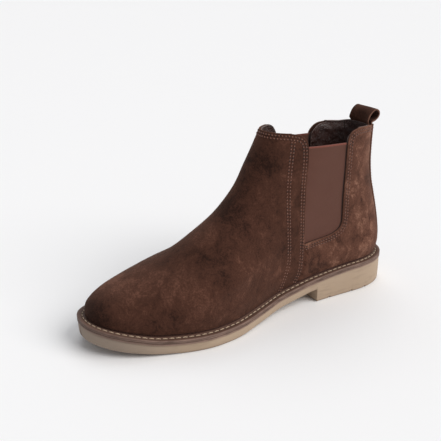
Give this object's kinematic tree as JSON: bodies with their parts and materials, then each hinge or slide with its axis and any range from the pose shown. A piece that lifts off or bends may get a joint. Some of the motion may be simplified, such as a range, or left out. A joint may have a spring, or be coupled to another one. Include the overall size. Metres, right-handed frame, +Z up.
{
  "type": "chelsea boot",
  "caption": "Ankle-high suede boot for the left foot with elastic side panels, a pull loop at the back, a stitched welt and a rubber sole with a low heel.",
  "frame": {"origin": "middle of the overall box, on the ground under the sole", "axes": "-Y towards the toe, +Y towards the heel, +X towards the outer (lateral) side of the left foot, +Z up"},
  "size_m": [0.1024, 0.3038, 0.1667],
  "materials": {
    "suede": "brushed brown nap",
    "elastic": "fine ribbed webbing",
    "lining_leather": "smooth, lightly polished",
    "stiffener": "matt",
    "fibre_board": "pressed fibre, matt",
    "cork": "granular",
    "foam": "soft",
    "steel": "rolled strip",
    "welt_rubber": "satin brown",
    "sole_rubber": "matt tan",
    "cream_thread": "waxed thread"
  },
  "bodies": {
    "boot": {"back_strip": "suede", "cork_filler": "cork", "elastic_gore_lateral": "elastic", "elastic_gore_medial": "elastic", "front_panel": "suede", "heel_counter": "stiffener", "heel_lining": "lining_leather", "heel_pad": "foam", "insole_board": "fibre_board", "lasting_margin": "suede", "midsole": "welt_rubber", "outsole_unit": "sole_rubber", "quarter_lateral": "suede", "quarter_lining_lateral": "lining_leather", "quarter_lining_medial": "lining_leather", "quarter_medial": "suede", "sock_liner": "lining_leather", "steel_shank": "steel", "toe_puff": "stiffener", "vamp_lining": "lining_leather", "welt": "welt_rubber", "welt_thread": "cream_thread"},
    "pull_loop": {"pull_loop": "suede"}
  },
  "joints": [
    {"name": "pull_loop_fold", "type": "hinge", "parent": "boot", "child": "pull_loop", "pos_m": [-0.00161, 0.13035, 0.1544], "axis": [1, 0, 0], "range_deg": [-30, 45]}
  ]
}
